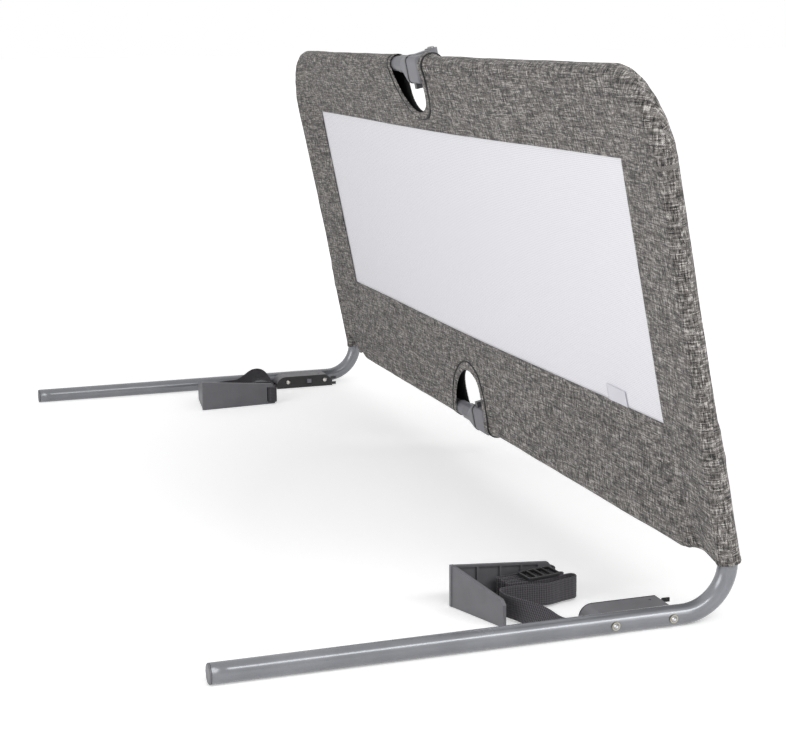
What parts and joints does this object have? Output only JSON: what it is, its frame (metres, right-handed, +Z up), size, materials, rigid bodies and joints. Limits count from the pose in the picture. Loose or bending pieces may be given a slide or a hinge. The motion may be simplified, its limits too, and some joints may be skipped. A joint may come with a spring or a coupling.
{
  "type": "folding bed guard rail",
  "caption": "Fabric-covered tubular bed guard rail that folds at centre hinges, on pull-off floor legs with strap housings, webbing straps and corner anchor plates.",
  "frame": {"origin": "on the floor under the middle of the whole rail's bounding box", "axes": "+X along the rail towards the end with the release buttons' hinge halves, the legs reach towards -Y, +Z up"},
  "size_m": [1.2028, 0.523, 0.5187],
  "materials": {
    "tube": "satin silver-grey powder coat",
    "plastic": "fine-textured mid grey moulding",
    "dark_plastic": "satin near-black moulding",
    "zinc": "bright zinc plate",
    "steel": "plain bright steel",
    "webbing": "ribbed charcoal polyester webbing",
    "cover": "heathered mid-grey woven polyester",
    "mesh": "fine near-white air mesh"
  },
  "bodies": {
    "right_half": {"upper_tube_right": "tube", "lower_rail_right": "tube", "rail_plug_right": "dark_plastic", "snap_spring_right": "steel", "cover_right": "cover", "mesh_window_right": "mesh", "care_label": "mesh", "top_hinge_catch_body": "plastic", "top_hinge_pin": "steel", "top_release_spring": "steel", "top_roll_pin_right": "steel", "bottom_hinge_catch_body": "plastic", "bottom_hinge_pin": "steel", "bottom_release_spring": "steel", "bottom_roll_pin_right": "steel"},
    "left_half": {"upper_tube_left": "tube", "lower_rail_left": "tube", "rail_plug_left": "dark_plastic", "snap_spring_left": "steel", "cover_left": "cover", "mesh_window_left": "mesh", "top_hinge_tongue_body": "plastic", "top_roll_pin_left": "steel", "bottom_hinge_tongue_body": "plastic", "bottom_roll_pin_left": "steel"},
    "leg_right": {"leg_tube_right": "tube", "leg_plug_right": "plastic", "strap_housing_right": "plastic", "housing_plate_right": "dark_plastic", "lock_spring_right": "steel", "leg_bolt_outer_right": "zinc", "leg_bolt_inner_right": "zinc", "leg_nut_outer_right": "zinc", "leg_nut_inner_right": "zinc", "anchor_plate_right": "plastic", "strap_bundle_right": "webbing", "strap_run_right": "webbing"},
    "leg_left": {"leg_tube_left": "tube", "leg_plug_left": "plastic", "strap_housing_left": "plastic", "housing_plate_left": "dark_plastic", "lock_spring_left": "steel", "leg_bolt_outer_left": "zinc", "leg_bolt_inner_left": "zinc", "leg_nut_outer_left": "zinc", "leg_nut_inner_left": "zinc", "anchor_plate_left": "plastic", "strap_bundle_left": "webbing", "strap_run_left": "webbing"},
    "top_release": {"top_release_button": "dark_plastic"},
    "bottom_release": {"bottom_release_button": "dark_plastic"},
    "snap_right": {"snap_cap_right": "zinc"},
    "snap_left": {"snap_cap_left": "zinc"},
    "lock_right": {"lock_button_right": "dark_plastic"},
    "lock_left": {"lock_button_left": "dark_plastic"}
  },
  "joints": [
    {"name": "centre_fold", "type": "hinge", "parent": "right_half", "child": "left_half", "pos_m": [-0.035, 0.20783, 0.28016], "axis": [0, 0.1925, -0.9813], "range_deg": [0, 180]},
    {"name": "leg_pull_right", "type": "slide", "parent": "right_half", "child": "leg_right", "axis": [0, 0.1925, -0.9813], "range_m": [0, 0.24]},
    {"name": "leg_pull_left", "type": "slide", "parent": "left_half", "child": "leg_left", "axis": [0, 0.1925, -0.9813], "range_m": [0, 0.24]},
    {"name": "top_release_press", "type": "slide", "parent": "right_half", "child": "top_release", "axis": [0, -0.1925, 0.9813], "range_m": [0, 0.003], "stiffness_N_per_m": 700, "springref_m": -0.003, "deforming": ["top_release_spring"]},
    {"name": "bottom_release_press", "type": "slide", "parent": "right_half", "child": "bottom_release", "axis": [0, 0.1925, -0.9813], "range_m": [0, 0.003], "stiffness_N_per_m": 700, "springref_m": -0.003, "deforming": ["bottom_release_spring"]},
    {"name": "snap_press_right", "type": "slide", "parent": "right_half", "child": "snap_right", "axis": [-1, 0, 0], "range_m": [0, 0.003], "stiffness_N_per_m": 900, "springref_m": -0.003, "deforming": ["snap_spring_right"]},
    {"name": "snap_press_left", "type": "slide", "parent": "left_half", "child": "snap_left", "axis": [1, 0, 0], "range_m": [0, 0.003], "stiffness_N_per_m": 900, "springref_m": -0.003, "deforming": ["snap_spring_left"]},
    {"name": "lock_press_right", "type": "slide", "parent": "leg_right", "child": "lock_right", "axis": [1, 0, 0], "range_m": [0, 0.0025], "stiffness_N_per_m": 700, "springref_m": -0.003, "deforming": ["lock_spring_right"]},
    {"name": "lock_press_left", "type": "slide", "parent": "leg_left", "child": "lock_left", "axis": [-1, 0, 0], "range_m": [0, 0.0025], "stiffness_N_per_m": 700, "springref_m": -0.003, "deforming": ["lock_spring_left"]}
  ]
}
